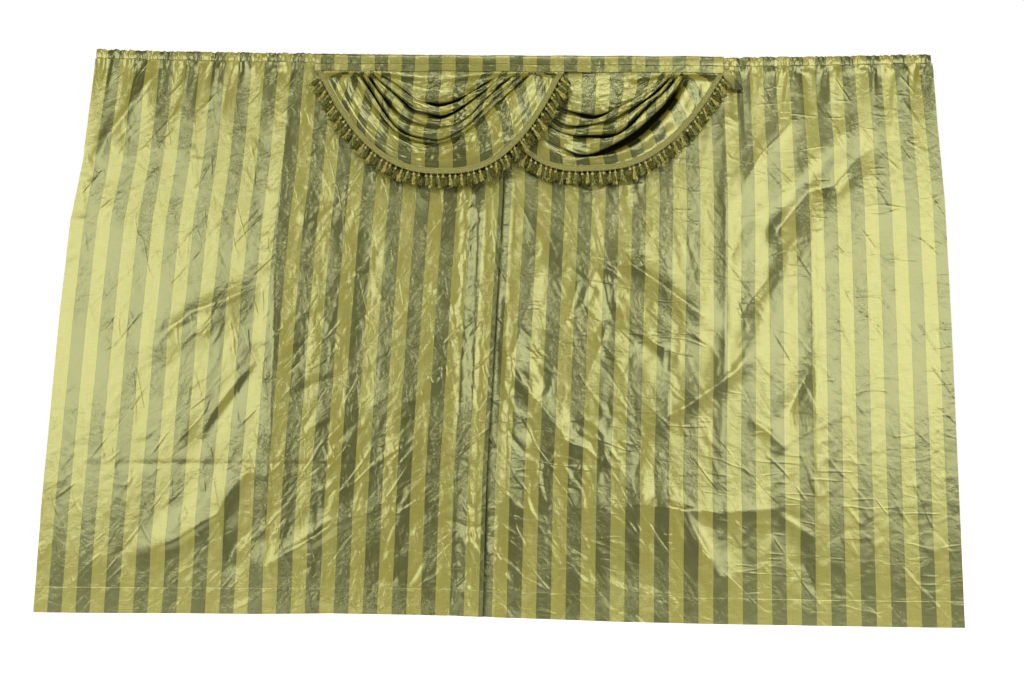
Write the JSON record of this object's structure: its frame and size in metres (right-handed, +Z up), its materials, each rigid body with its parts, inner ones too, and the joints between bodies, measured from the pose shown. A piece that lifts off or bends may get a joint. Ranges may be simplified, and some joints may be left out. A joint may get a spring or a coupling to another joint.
{
  "type": "pair of curtain panels with a swag valance",
  "caption": "Striped silk curtain panels on gathered rod pockets, with a flat-band valance of overlapping pleated swags edged in braid and tassel fringe.",
  "frame": {"origin": "middle of the top edge of the panels, on the line of the panels' rod pockets", "axes": "+X to the right seen from the front, along the rod; the front faces -Y; +Z up"},
  "size_m": [3.888, 0.132, 2.4691],
  "materials": {
    "striped_silk": "crisp silk taffeta, gold and sage green vertical stripes, soft satin sheen",
    "valance_silk": "the same striped silk taffeta, pleated",
    "braid": "flat woven braid, old gold",
    "tassel_yarn": "twisted viscose yarn, gold, sage and dark olive"
  },
  "bodies": {
    "root": {"curtain_left": "striped_silk", "curtain_right": "striped_silk", "heading_left": "striped_silk", "heading_right": "striped_silk", "valance_heading": "valance_silk", "valance_band": "valance_silk", "swag_left": "valance_silk", "swag_right": "valance_silk", "corner_flap": "valance_silk", "braid_left": "braid", "braid_right": "braid", "fringe_left": "tassel_yarn", "fringe_right": "tassel_yarn"}
  },
  "joints": []
}
